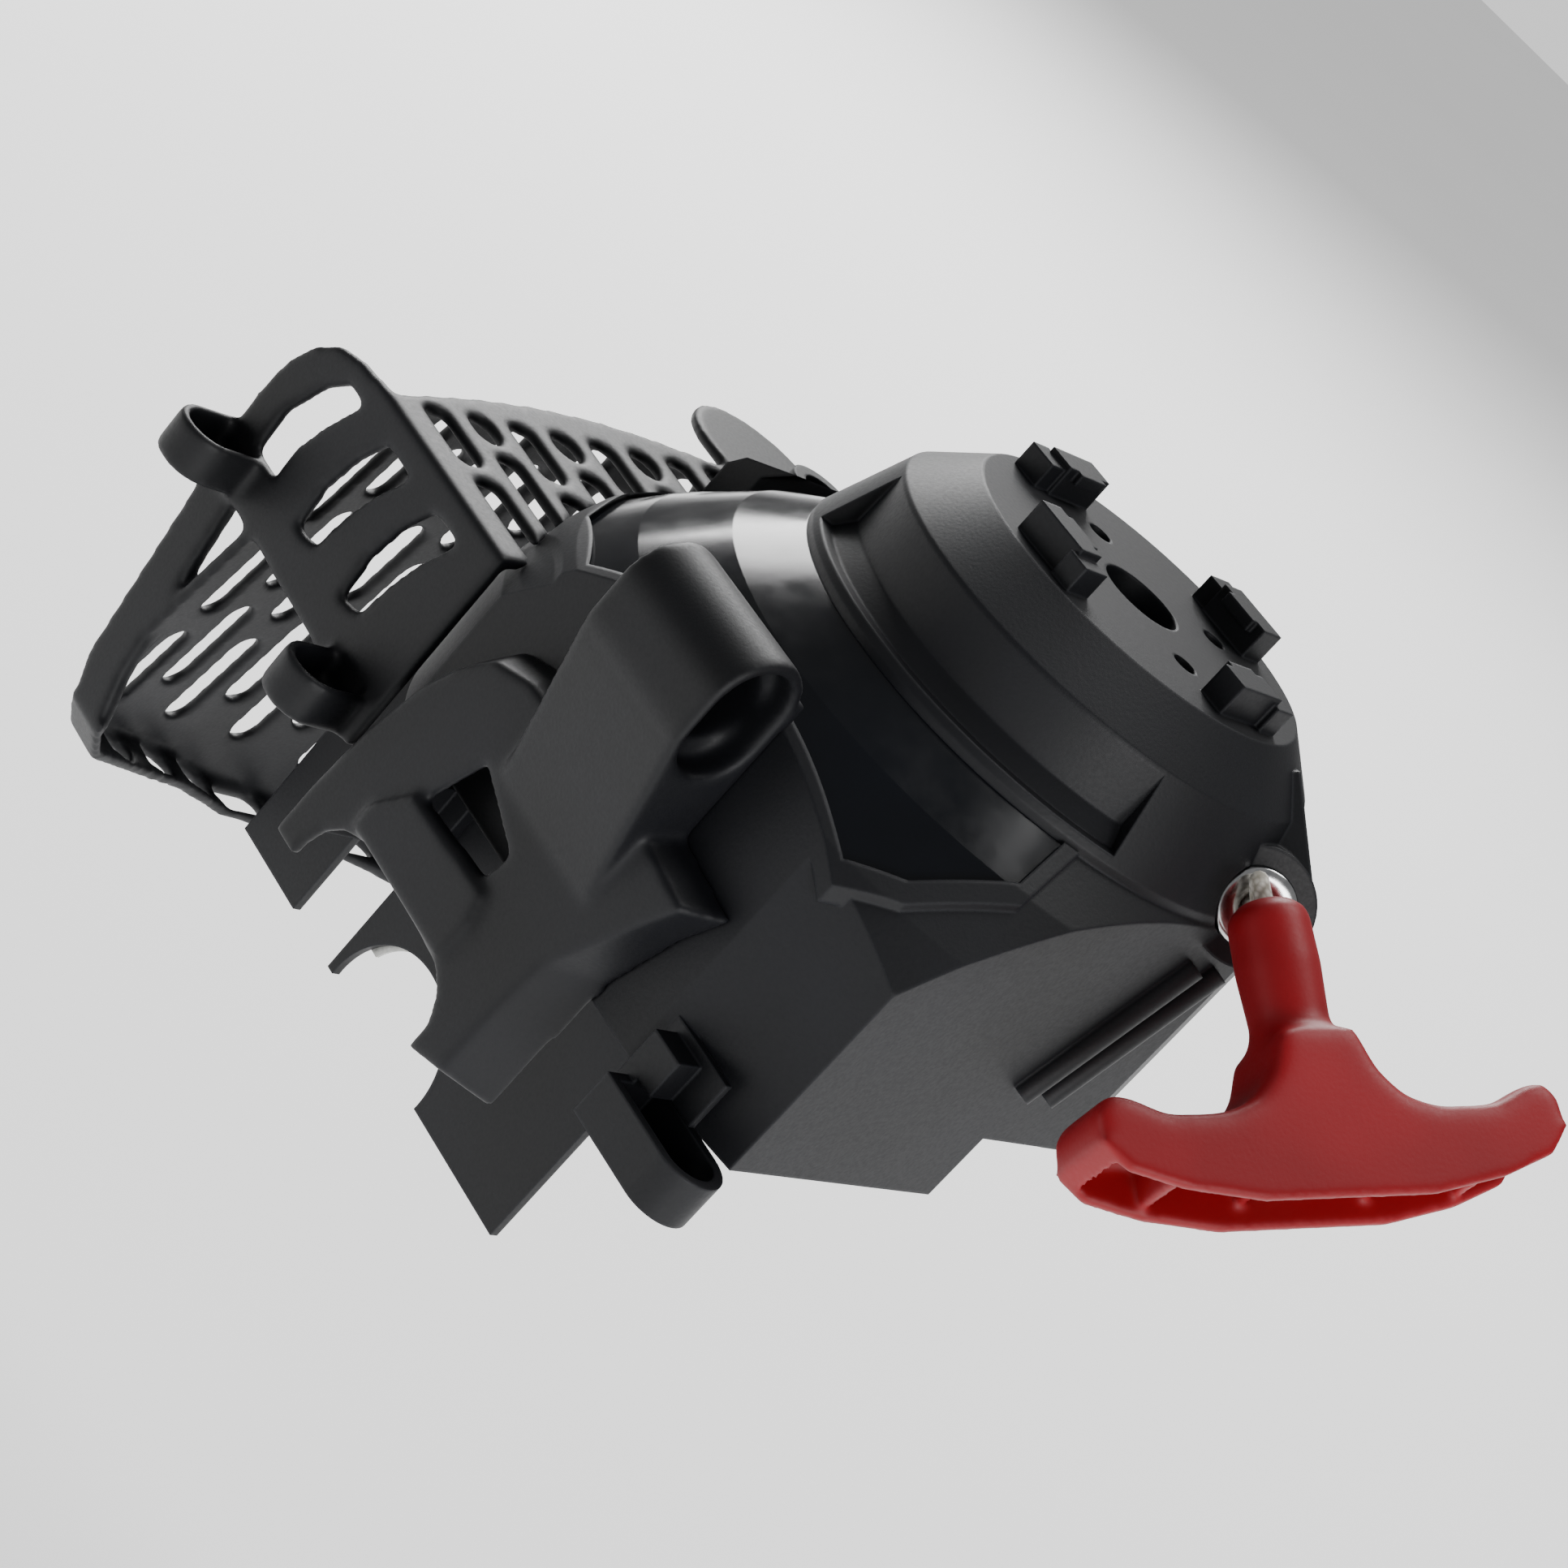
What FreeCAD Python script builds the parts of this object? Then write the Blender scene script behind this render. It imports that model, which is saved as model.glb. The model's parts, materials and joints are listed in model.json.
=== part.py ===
import FreeCAD, Part
import math
import os
import re
import Sketcher

# Recoil starter of a small air-cooled engine, with its fan housing and cylinder guard.
# Frame: origin on the crank axis in the plane of the engine-side edges, +Z out through
# the round starter cap, +Y towards the cylinder guard, +X away from the shrouded flank.

os.makedirs("parts", exist_ok=True)
doc = FreeCAD.newDocument("recoil_starter")

DIMENSIONS = {
    # moulded fan housing
    "skin": 2.4,
    "rear_edge": 61.0,
    "shell_radius": 90.0,
    "rim_height": 90.0,
    "brow_radius": 84.0,
    "brow_height": 104.0,
    "slope_radius": 77.0,
    "slope_height": 112.5,
    "neck_radius": 65.0,
    "neck_height": 124.3,
    "collar_radius": 54.3,
    "collar_height": 131.9,
    "near_wall": 72.0,
    "far_wall": 74.0,
    "flank_corner": 30.0,
    "skirt_drop": 55.0,
    "skirt_left": 64.0,
    "skirt_right": 20.0,
    # starter cap
    "cap_top": 160.0,
    "cap_face_radius": 37.2,
    "cap_shoulder_radius": 47.3,
    "cap_shoulder_height": 151.0,
    "cap_base_radius": 54.4,
    "cap_base_height": 133.6,
    "step_radius": 48.4,
    "pocket_high": 150.2,
    "pocket_step": 138.8,
    "pocket_ledge": 135.2,
    "well_radius": 8.4,
    "well_floor": 136.0,
    "post_radius": 11.0,
    "post_end": 127.4,
    "vent_pcd": 40.2,
    "vent_radius": 2.5,
    "lug_reach": 29.5,
    "lug_length": 17.0,
    "lug_width": 6.0,
    "lug_height": 6.5,
    # label panel on the bell's shoulder, and the boss of the top screw
    "label_gauge": 0.7,
    "label_rim": 0.8,
    "boss_x": 21.0,
    "boss_y": 83.0,
    "boss_top": 117.5,
    # rope guide
    "guide_x": 8.0,
    "guide_y": -55.0,
    "guide_z": 138.0,
    "guide_radius": 11.2,
    "guide_length": 19.0,
    "gusset_rise": 22.0,
    "guide_bore": 6.2,
    "ferrule_radius": 7.6,
    "rope_radius": 1.75,
    "rope_hole": 2.6,
    "rope_grip": 42.0,
    "knot_radius": 4.2,
    # reel, spring and ratchet
    "reel_radius": 34.0,
    "reel_core": 22.5,
    "reel_low": 131.3,
    "reel_high": 144.7,
    "reel_hub_low": 127.5,
    "hub_radius": 14.5,
    "spring_hub_radius": 13.3,
    "flange": 2.0,
    "running_gap": 0.05,
    "coil_radius": 29.5,
    "spring_case_radius": 33.0,
    "spring_case_top": 157.0,
    "cover_high": 147.7,
    "spring_low": 149.2,
    "spring_high": 155.2,
    "sheet_steel": 0.8,
    "spring_strip": 0.6,
    "pawl_reach": 22.0,
    "pawl_eye": 4.2,
    "pawl_length": 17.0,
    "pawl_low": 126.9,
    "pawl_high": 130.6,
    "pin_radius": 2.0,
    "peg_radius": 1.2,
    "plate_low": 124.4,
    "plate_high": 125.6,
    "screw_radius": 2.1,
    "shoulder_radius": 4.0,
    "screw_head_top": 122.6,
    # cylinder guard
    "guard_skin": 2.6,
    "guard_front": 94.5,
    "guard_brow": 104.5,
    "guard_foot": 59.0,
    "guard_panel_rear": 52.5,
    "guard_far": 46.0,
    "guard_slant": 12.0,
    "guard_bow": 20.0,
    "guard_rim_drop": 12.0,
    "slot_radius": 3.1,
    # flank shroud and air guide
    "shroud_face": 82.0,
    "shroud_gauge": 2.4,
    "tube_x": 83.0,
    "tube_y": -10.0,
    "tube_z": 116.5,
    "tube_radius": 10.6,
    "tube_bore": 8.2,
    "tube_half": 3.4,
    "tube_length": 31.0,
    "guide_plate": 40.0,
    "guide_gauge": 2.0,
    # screw ears
    "ear_radius": 7.25,
    "ear_hole": 2.7,
    "ear_wall": 1.9,
    "ear_floor": 3.2,
    "ear_length": 9.5,
    "top_ear_x": -80.0,
    "top_ear_y": 125.6,
    "top_ear_z": 55.2,
    "flank_ear_x": -80.0,
    "flank_ear_y": 68.7,
    "flank_ear_z": 46.8,
    "skirt_ear_x": -75.3,
    "skirt_ear_y": -54.0,
    "skirt_ear_z": 52.5,
    # pull handle
    "handle_half": 44.0,
    "handle_depth": 20.0,
    "handle_height": 57.0,
    "stem_radius": 7.2,
}

dims = doc.addObject("Spreadsheet::Sheet", "dims")
for row, (alias, value) in enumerate(DIMENSIONS.items(), start=1):
    dims.set("A" + str(row), alias.replace("_", " "))
    dims.set("B" + str(row), str(value))
    dims.setAlias("B" + str(row), alias)
doc.recompute()


def size(alias):
    """The number in the sheet under this alias."""
    return float(dims.get(alias))


def formula(text):
    """An expression in which every word is a cell of the sheet."""
    return re.sub(r"[a-z][a-z_]*", lambda word: "dims." + word.group(0), str(text))


def place(thing, x, y, z, turn=None):
    """Binds a primitive's position to the sheet, after an optional rotation."""
    if turn is not None:
        thing.Placement = FreeCAD.Placement(FreeCAD.Vector(), turn)
    thing.setExpression("Placement.Base.x", formula(x))
    thing.setExpression("Placement.Base.y", formula(y))
    thing.setExpression("Placement.Base.z", formula(z))
    return thing


ALONG_X = FreeCAD.Rotation(FreeCAD.Vector(0, 1, 0), 90)
ALONG_Y = FreeCAD.Rotation(FreeCAD.Vector(1, 0, 0), -90)


def cylinder(name, radius, height, x=0, y=0, z=0, turn=None):
    thing = doc.addObject("Part::Cylinder", name)
    thing.setExpression("Radius", formula(radius))
    thing.setExpression("Height", formula(height))
    return place(thing, x, y, z, turn)


def torus(name, ring, section, x=0, y=0, z=0, turn=None):
    thing = doc.addObject("Part::Torus", name)
    thing.setExpression("Radius1", formula(ring))
    thing.setExpression("Radius2", formula(section))
    return place(thing, x, y, z, turn)


def box(name, x_span, y_span, z_span):
    """A block between two formulas on each axis."""
    thing = doc.addObject("Part::Box", name)
    for side, (low, high) in zip(("Length", "Width", "Height"), (x_span, y_span, z_span)):
        thing.setExpression(side, formula("(%s) - (%s)" % (high, low)))
    return place(thing, x_span[0], y_span[0], z_span[0])


def fuse(name, *things):
    thing = doc.addObject("Part::MultiFuse", name)
    thing.Shapes = list(things)
    return thing


def common(name, *things):
    thing = doc.addObject("Part::MultiCommon", name)
    thing.Shapes = list(things)
    return thing


def cut(name, base, *tools):
    tool = tools[0]
    if len(tools) > 1:
        tool = fuse(name + "_tools", *tools)
    thing = doc.addObject("Part::Cut", name)
    thing.Base = base
    thing.Tool = tool
    return thing


def carve(name, base, *tools):
    """Takes tools out of a solid one after the other."""
    for index, tool in enumerate(tools):
        base = cut("%s_%d" % (name, index), base, tool)
    return base


def turned(thing, angle):
    """A copy of a primitive or boolean, turned about the crank axis."""
    link = doc.addObject("Part::Feature", thing.Name + "_turned")
    doc.recompute()
    link.Shape = thing.Shape.rotated(FreeCAD.Vector(), FreeCAD.Vector(0, 0, 1), angle)
    return link


NODES = []


def node(name, thing):
    """Marks an object as a sub-part of its own, named for its file."""
    thing.Label = name
    NODES.append(thing)
    return thing


def origin_plane(body, role):
    for feature in body.Origin.OriginFeatures:
        if feature.Role == role:
            return feature


def outline(body, name, role, corners, height=0.0):
    """A closed sketch of straight sides; each corner coordinate is a formula bound by a constraint."""
    sketch = body.newObject("Sketcher::SketchObject", name)
    sketch.AttachmentSupport = (origin_plane(body, role), [""])
    sketch.MapMode = "FlatFace"
    if height:
        sketch.setExpression(".AttachmentOffset.Base.z", formula(height))
    points = [FreeCAD.Vector(number(x), number(y), 0) for x, y in corners]
    for index, point in enumerate(points):
        sketch.addGeometry(Part.LineSegment(point, points[(index + 1) % len(points)]), False)
    for index in range(len(points)):
        after = (index + 1) % len(points)
        sketch.addConstraint(Sketcher.Constraint("Coincident", index, 2, after, 1))
    for index, (x, y) in enumerate(corners):
        for kind, term in (("DistanceX", x), ("DistanceY", y)):
            rule = sketch.addConstraint(Sketcher.Constraint(kind, -1, 1, index, 1, number(term)))
            if re.search("[a-z]", str(term)):
                sketch.setExpression("Constraints[%d]" % rule, formula(term))
    return sketch


def number(term):
    """The value of a sum or difference of cells and numbers."""
    total = 0.0
    for sign, word in re.findall(r"([+-]?)\s*([a-z_]+|[0-9.]+)", str(term)):
        value = size(word) if re.match("[a-z]", word) else float(word)
        total += -value if sign == "-" else value
    return total


def solid_of(name, role, corners, start, length):
    """A body: one straight-sided outline padded from a plane parallel to an origin plane."""
    body = doc.addObject("PartDesign::Body", name)
    sketch = outline(body, name + "_sketch", role, corners, start)
    pad = body.newObject("PartDesign::Pad", name + "_pad")
    pad.Profile = sketch
    pad.setExpression("Length", formula(length))
    body.Tip = pad
    return body


def loft(name, role, first, first_height, last, last_height):
    """A body: a ruled solid between two straight-sided outlines with the same number of corners."""
    body = doc.addObject("PartDesign::Body", name)
    low = outline(body, name + "_low", role, first, first_height)
    high = outline(body, name + "_high", role, last, last_height)
    ruled = body.newObject("PartDesign::AdditiveLoft", name + "_loft")
    ruled.Profile = low
    ruled.Sections = [high]
    ruled.Ruled = True
    body.Tip = ruled
    return body


def slot(name, role, start, end, radius, height, length):
    """A body: a slot with round ends between two centres, padded from a plane parallel to an origin plane."""
    body = doc.addObject("PartDesign::Body", name)
    sketch = body.newObject("Sketcher::SketchObject", name + "_sketch")
    sketch.AttachmentSupport = (origin_plane(body, role), [""])
    sketch.MapMode = "FlatFace"
    sketch.setExpression(".AttachmentOffset.Base.z", formula(height))
    near = FreeCAD.Vector(number(start[0]), number(start[1]), 0)
    far = FreeCAD.Vector(number(end[0]), number(end[1]), 0)
    along = (far - near).normalize()
    side = FreeCAD.Vector(-along.y, along.x, 0) * size(radius)
    heading = math.atan2(along.y, along.x)
    quarter = math.pi / 2
    up = FreeCAD.Vector(0, 0, 1)
    sketch.addGeometry(Part.LineSegment(near - side, far - side), False)
    sketch.addGeometry(Part.ArcOfCircle(Part.Circle(far, up, size(radius)), heading - quarter, heading + quarter), False)
    sketch.addGeometry(Part.LineSegment(far + side, near + side), False)
    sketch.addGeometry(Part.ArcOfCircle(Part.Circle(near, up, size(radius)), heading + quarter,
                                        heading + 3 * quarter), False)
    for index in range(4):
        sketch.addConstraint(Sketcher.Constraint("Tangent", index, 2, (index + 1) % 4, 1))
    sketch.addConstraint(Sketcher.Constraint("Equal", 1, 3))
    rule = sketch.addConstraint(Sketcher.Constraint("Radius", 1, size(radius)))
    sketch.setExpression("Constraints[%d]" % rule, formula(radius))
    for arc, centre in ((1, end), (3, start)):
        for kind, term in zip(("DistanceX", "DistanceY"), centre):
            rule = sketch.addConstraint(Sketcher.Constraint(kind, -1, 1, arc, 3, number(term)))
            if re.search("[a-z]", str(term)):
                sketch.setExpression("Constraints[%d]" % rule, formula(term))
    pad = body.newObject("PartDesign::Pad", name + "_pad")
    pad.Profile = sketch
    pad.setExpression("Length", formula(length))
    body.Tip = pad
    return body


def turning(name, corners):
    """A body: a half outline, as radius and height, turned about the crank axis."""
    body = doc.addObject("PartDesign::Body", name)
    sketch = outline(body, name + "_sketch", "XZ_Plane", corners)
    revolution = body.newObject("PartDesign::Revolution", name + "_turn")
    revolution.Profile = sketch
    revolution.ReferenceAxis = (sketch, ["V_Axis"])
    revolution.Angle = 360
    body.Tip = revolution
    return body


# ---------------------------------------------------------------- fan housing

def bell(name, inset):
    """The round bell of the housing; inset moves every surface inwards by the skin."""
    drop = " - skin" if inset else ""
    floor = "rear_edge - 1" if inset else "rear_edge"
    return turning(name, [
        ("0", floor),
        ("shell_radius" + drop, floor),
        ("shell_radius" + drop, "rim_height" + drop),
        ("brow_radius" + drop, "brow_height" + drop),
        ("slope_radius" + drop, "slope_height" + drop),
        ("neck_radius" + drop, "neck_height" + drop),
        ("step_radius - skin" if inset else "collar_radius", "collar_height" + drop),
        ("step_radius - skin - 1" if inset else "cap_base_radius", "cap_base_height" + drop),
        ("cap_shoulder_radius" + drop, "cap_shoulder_height" + drop),
        ("cap_face_radius" + drop, "cap_top" + drop),
        ("0", "cap_top" + drop),
    ])


def plan(name, inset):
    """The outline that trims the bell: flat near flank, flat skirt, angled far side."""
    wall = " + skin" if inset else ""
    back = " - skin" if inset else ""
    corners = [
        ("-near_wall" + wall, "-flank_corner"),
        ("-skirt_left" + wall, "-skirt_drop" + wall),
        ("skirt_right" + back, "-skirt_drop" + wall),
        ("far_wall" + back, "-flank_corner" + wall),
        ("far_wall" + back, "shell_radius + 5"),
        ("-near_wall" + wall, "shell_radius + 5"),
    ]
    return solid_of(name, "XY_Plane", corners, "rear_edge - 2", "cap_top - rear_edge + 6")


def band(name, corners, start, sweep):
    """A half outline turned part of the way about the crank axis, from a start angle."""
    body = turning(name, corners)
    body.Tip.Angle = sweep
    body.Placement.Rotation = FreeCAD.Rotation(FreeCAD.Vector(0, 0, 1), start)
    return body


GUIDE_AXIS = FreeCAD.Vector(-0.68, -0.68, 0.27).normalize()
GUIDE_TURN = FreeCAD.Rotation(FreeCAD.Vector(0, 0, 1), GUIDE_AXIS)


def guide_point(distance):
    """A point on the rope guide's axis, this far out of its mouth."""
    mouth = FreeCAD.Vector(size("guide_x"), size("guide_y"), size("guide_z"))
    return mouth + GUIDE_AXIS * distance


def guide_cylinder(name, radius, start, length):
    """A cylinder on the rope guide's axis."""
    shift = ["guide_%s + (%.6f) * (%s)" % (axis, part, start) for axis, part in zip("xyz", GUIDE_AXIS)]
    return cylinder(name, radius, length, *shift, turn=GUIDE_TURN)


def lug(name, angle):
    """Bayonet lug of the starter cap: a tall hooked block with a lower block beside it."""
    half = "lug_length / 2"
    tall = box(name + "_tall", ("lug_reach - lug_width / 2", "lug_reach + lug_width / 2"),
               ("-" + half, half + " - 4"), ("cap_top - 1", "cap_top + lug_height"))
    low = box(name + "_low", ("lug_reach - lug_width / 2 + 0.8", "lug_reach + lug_width / 2 + 1.4"),
              (half + " - 5", half), ("cap_top - 1", "cap_top + lug_height - 1.2"))
    lip = box(name + "_lip", ("lug_reach - lug_width / 2 - 1.4", "lug_reach"),
              ("-" + half + " + 2.5", half + " - 6.5"), ("cap_top + lug_height - 2.4", "cap_top + lug_height"))
    return turned(fuse(name, tall, low, lip), angle)


def screw_ear(name, reach, across):
    """A screw ear along Z at the sheet's position: its solid, and the pocket and hole cut from it."""
    x, y, low = [name + "_" + axis for axis in "xyz"]
    boss = cylinder(name + "_boss", "ear_radius", "ear_length", x, y, low)
    hole = cylinder(name + "_hole", "ear_hole", "ear_length + 2", x, y, low + " - 1")
    seat = cylinder(name + "_seat", "ear_radius - ear_wall", "ear_length", x, y, low + " + ear_floor")
    span = {"x": (x, reach), "y": (y, reach)}[across]
    sides = {"x": (y + " - ear_radius", y + " + ear_radius"), "y": (x + " - ear_radius", x + " + ear_radius")}[across]
    room = {"x": (y + " - ear_radius + ear_wall", y + " + ear_radius - ear_wall"),
            "y": (x + " - ear_radius + ear_wall", x + " + ear_radius - ear_wall")}[across]
    spans = (span, sides) if across == "x" else (sides, span)
    rooms = ((x, reach + " - ear_wall"), room) if across == "x" else (room, (y, reach + " - ear_wall"))
    arm = box(name + "_arm", spans[0], spans[1], (low, low + " + ear_length"))
    pocket = box(name + "_pocket", rooms[0], rooms[1], (low + " + ear_floor", low + " + ear_length + 1"))
    return [boss, arm], [hole, seat, pocket]


def starter_housing():
    outside = common("housing_outside", fuse("bell_and_brow", bell("bell_out", False), brow()), plan("plan_out", False))
    inside = common("housing_inside", bell("bell_in", True), plan("plan_in", True))
    recess = label_room()
    notch = box("skirt_notch", (-5, "skirt_right + 60"), ("-skirt_drop - 5", "-flank_corner - 8"),
                ("rear_edge - 1", "rear_edge + 15"))
    pocket = band("cap_pocket", [
        ("cap_shoulder_radius + 0.3", "pocket_high"),
        ("step_radius - 0.2", "pocket_step"),
        ("step_radius + 2.8", "pocket_ledge"),
        ("cap_base_radius + 4", "pocket_ledge"),
        ("cap_base_radius + 4", "pocket_high"),
    ], 138, 102)
    vents = []
    for turn in (72.9, 342.9, 252.9, 162.9):
        reach = ["vent_pcd / 2 * (%.6f)" % part for part in
                 (math.cos(math.radians(turn)), math.sin(math.radians(turn)))]
        vents.append(cylinder("vent_%d" % turn, "vent_radius", 8, *reach, "cap_top - 6"))
    boss_hole = cylinder("boss_hole", 4.6, 40, "boss_x", "boss_y", "boss_top - 30")
    walls = carve("housing_walls", outside, recess, inside, notch, pocket, boss_hole, *vents)

    post = cylinder("reel_post", "post_radius", "cap_top - 1 - post_end", 0, 0, "post_end")
    well = cylinder("post_well", "well_radius", "cap_top - well_floor + 2", 0, 0, "well_floor")
    screw_hole = cylinder("post_screw_hole", "screw_radius", 20, 0, 0, "post_end - 1")
    lugs = [lug("lug_%d" % turn, turn) for turn in (0, 90, 180, 270)]
    capped = carve("housing_cap", fuse("cap_and_post", walls, post, *lugs), well, screw_hole)

    lobe = guide_cylinder("guide_lobe", "guide_radius", "-guide_length", "guide_length")
    corners = cut("housing_corners", fuse("corner_blank", lobe, gusset()), inside)
    bore = guide_cylinder("guide_bore_cut", "rope_hole", -26, 30)
    mouth = guide_cylinder("guide_inner_mouth", "rope_hole + 1.6", "-guide_length - 6", 14)
    seat = guide_cylinder("ferrule_seat", "guide_bore", -5, 8)
    lip_room = guide_cylinder("ferrule_lip_room", "ferrule_radius + 0.2", 0, 8)
    guide_tools = (bore, mouth, seat, lip_room)
    guide = carve("housing_guide", corners, *guide_tools)
    capped = carve("housing_guide_side", capped, *guide_tools)

    ear, ear_cuts = screw_ear("skirt_ear", "-flank_corner - 6", "y")
    web = box("skirt_web", ("-near_wall + 0.5", "-near_wall + 2"), ("-flank_corner - 18", "-flank_corner - 2"),
              ("skirt_ear_z", "rear_edge + 12"))
    shoulder = box("skirt_shoulder", ("skirt_ear_x - 2", "-near_wall + 1"),
                   ("-flank_corner - 12", "-flank_corner - 4"), ("skirt_ear_z + 2", "rear_edge + 10"))
    ribs = [skirt_rib("skirt_rib_%d" % index, x) for index, x in enumerate((-8, 0))]
    frame = cut("label_frame_ring", label_rim(), recess)
    ear_blank = carve("skirt_ear_cut", fuse("skirt_ear_blank", web, shoulder, *ear), *ear_cuts)
    return node("starter_housing", fuse("housing_join", capped, guide, ear_blank, frame, *ribs))


def brow():
    """The swelling of the bell round the top screw's boss."""
    swell = band("brow_band", [
        ("collar_radius", "collar_height - 2"),
        ("neck_radius + 4", "neck_height + 1"),
        ("shell_radius - 3", "boss_top - 1"),
        ("shell_radius", "boss_top - 5"),
        ("shell_radius", "rim_height"),
        ("collar_radius", "rim_height"),
    ], 70, 20)
    boss = cylinder("boss_post", 7.6, "boss_top - rim_height", "boss_x", "boss_y", "rim_height")
    return fuse("brow_blank", swell, boss)


def gusset():
    """Wedge that carries the rope guide's lobe up to the cap's shoulder."""
    wedge = doc.addObject("Part::Wedge", "guide_gusset")
    for side, text in (("Xmin", "-guide_radius"), ("Xmax", "guide_radius"), ("Ymin", "0"), ("Ymax", "gusset_rise"),
                       ("Zmin", "-guide_length - 4"), ("Zmax", "-1.5"), ("X2min", "-guide_radius + 3"),
                       ("X2max", "guide_radius - 1"), ("Z2min", "-guide_length - 6"), ("Z2max", "-12")):
        wedge.setExpression(side, formula(text))
    rise = FreeCAD.Vector(-0.279, 0.576, 0.747)
    rise = (rise - GUIDE_AXIS * rise.dot(GUIDE_AXIS)).normalize()
    across = rise.cross(GUIDE_AXIS)
    mouth = guide_point(0)
    wedge.Placement = FreeCAD.Placement(FreeCAD.Matrix(
        across.x, rise.x, GUIDE_AXIS.x, mouth.x, across.y, rise.y, GUIDE_AXIS.y, mouth.y,
        across.z, rise.z, GUIDE_AXIS.z, mouth.z, 0, 0, 0, 1))
    return wedge


def skirt_rib(name, x):
    """A round stiffening rib that runs slantwise up the skirt."""
    lean = FreeCAD.Rotation(FreeCAD.Vector(0, 0, 1), FreeCAD.Vector(0.38, 0, 0.925))
    return cylinder(name, 2.6, 38, x, "-skirt_drop - 0.2", "rim_height - 2", turn=lean)


LABEL_PLAN = [(-31, 79), (-2, 85), (8, 67), (8, 40), (-20, 0), (-30, -40), (-45, -47), (-62, -41), (-70.2, -34),
              (-70.2, 45), (-55, 64)]
RIM_PLAN = [(-33, 82), (-1, 88), (11, 68), (11, 40), (-17, 0), (-27, -42), (-45, -50.2), (-63, -44.2),
            (-72, -37), (-72, 47), (-57, 67)]


def shoulder_layer(name, corners, low, high):
    """The part of a layer over the bell's shoulder, between two offsets, that lies over a plan."""
    surface = [("collar_radius", "collar_height"), ("neck_radius", "neck_height"),
               ("slope_radius", "slope_height"), ("brow_radius", "brow_height"), ("shell_radius", "rim_height")]
    over = [(radius + high, height + high) for radius, height in surface]
    under = [(radius + low, height + low) for radius, height in reversed(surface)]
    layer = turning(name + "_layer", over + under)
    column = solid_of(name + "_plan", "XY_Plane", [(str(x), str(y)) for x, y in corners], "rim_height - 4", "50")
    return common(name, layer, column)


def label_rim():
    """Raised frame round the label panel."""
    return shoulder_layer("label_frame", RIM_PLAN, " - 1", " + label_rim")


def label_room():
    """The recess that the label panel lies in, open above."""
    return shoulder_layer("label_recess", LABEL_PLAN, " - label_gauge", " + 4")


def label_panel():
    """The glossy panel that wraps the bell's near shoulder."""
    return node("name_plate", shoulder_layer("label_band", LABEL_PLAN, " - label_gauge", ""))


# ---------------------------------------------------------------- reel, spring, ratchet

def reel():
    """Rope reel: hub that carries the spring's hook, two flanges, and a hub for the ratchet."""
    body = turning("reel_turning", [
        ("post_radius + running_gap", "reel_hub_low"),
        ("hub_radius", "reel_hub_low"),
        ("hub_radius", "reel_low"),
        ("reel_radius", "reel_low"),
        ("reel_radius", "reel_low + flange"),
        ("reel_core", "reel_low + flange"),
        ("reel_core", "reel_high - flange"),
        ("reel_radius", "reel_high - flange"),
        ("reel_radius", "reel_high"),
        ("spring_hub_radius", "reel_high"),
        ("spring_hub_radius", "spring_high"),
        ("post_radius + running_gap", "spring_high"),
    ])
    holes = [turned(cylinder("pin_hole_%d" % turn, "pin_radius", "flange + 2", "pawl_reach", 0, "reel_low - 1"),
                    turn) for turn in PAWL_TURNS]
    return node("rope_pulley", cut("reel_cut", body, *holes))


def ring(name, inner, outer, low, high):
    """A plain turned ring."""
    return node(name, turning(name + "_turning", [(inner, low), (outer, low), (outer, high), (inner, high)]))


def spring_case():
    """Pressed steel cup that holds the recoil spring against the cap."""
    body = turning("case_turning", [
        ("post_radius + 0.3", "spring_case_top - sheet_steel"),
        ("spring_case_radius - sheet_steel", "spring_case_top - sheet_steel"),
        ("spring_case_radius - sheet_steel", "cover_high"),
        ("spring_case_radius", "cover_high"),
        ("spring_case_radius", "spring_case_top"),
        ("post_radius + 0.3", "spring_case_top"),
    ])
    return node("spring_case", body)


def recoil_spring(turns=7, per_turn=24):
    """Flat spiral strip, wound from the reel's hub out to the case."""
    inner = size("spring_hub_radius") + 1.0
    outer = size("spring_case_radius") - size("sheet_steel") - 1.2
    count = turns * per_turn

    def edge(offset):
        points = []
        for step in range(count + 1):
            angle = 2 * math.pi * step / per_turn
            radius = inner + (outer - inner) * step / count + offset
            points.append(FreeCAD.Vector(radius * math.cos(angle), radius * math.sin(angle), size("spring_low")))
        curve = Part.BSplineCurve()
        curve.interpolate(points)
        return curve.toShape(), points

    inside, inside_points = edge(-size("spring_strip") / 2)
    outside, outside_points = edge(size("spring_strip") / 2)
    closing = [Part.makeLine(inside_points[end], outside_points[end]) for end in (0, -1)]
    face = Part.Face(Part.Wire(Part.__sortEdges__([inside, outside] + closing)))
    strip = doc.addObject("Part::Feature", "recoil_spring_strip")
    strip.Shape = face.extrude(FreeCAD.Vector(0, 0, size("spring_high") - size("spring_low")))
    return node("recoil_spring", strip)


PAWL_TURNS = (20, 200)


def pawl(name, turn):
    """Ratchet pawl: an eye on its pin, a blunt tooth that swings outwards and a cam peg."""
    eye = cylinder(name + "_eye", "pawl_eye", "pawl_high - pawl_low", "pawl_reach", 0, "pawl_low")
    arm = box(name + "_arm", ("pawl_reach - 1.5", "pawl_reach + 4"), ("-pawl_length", 0), ("pawl_low", "pawl_high"))
    peg = cylinder(name + "_peg", "peg_radius", "pawl_low - plate_low + 0.5", "pawl_reach + 1.5",
                   "-pawl_length / 2", "plate_low + 0.2")
    bore = cylinder(name + "_bore", "pin_radius + running_gap", 8, "pawl_reach", 0, "pawl_low - 2")
    return node(name, turned(cut(name + "_cut", fuse(name + "_blank", eye, arm, peg), bore), turn))


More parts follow.
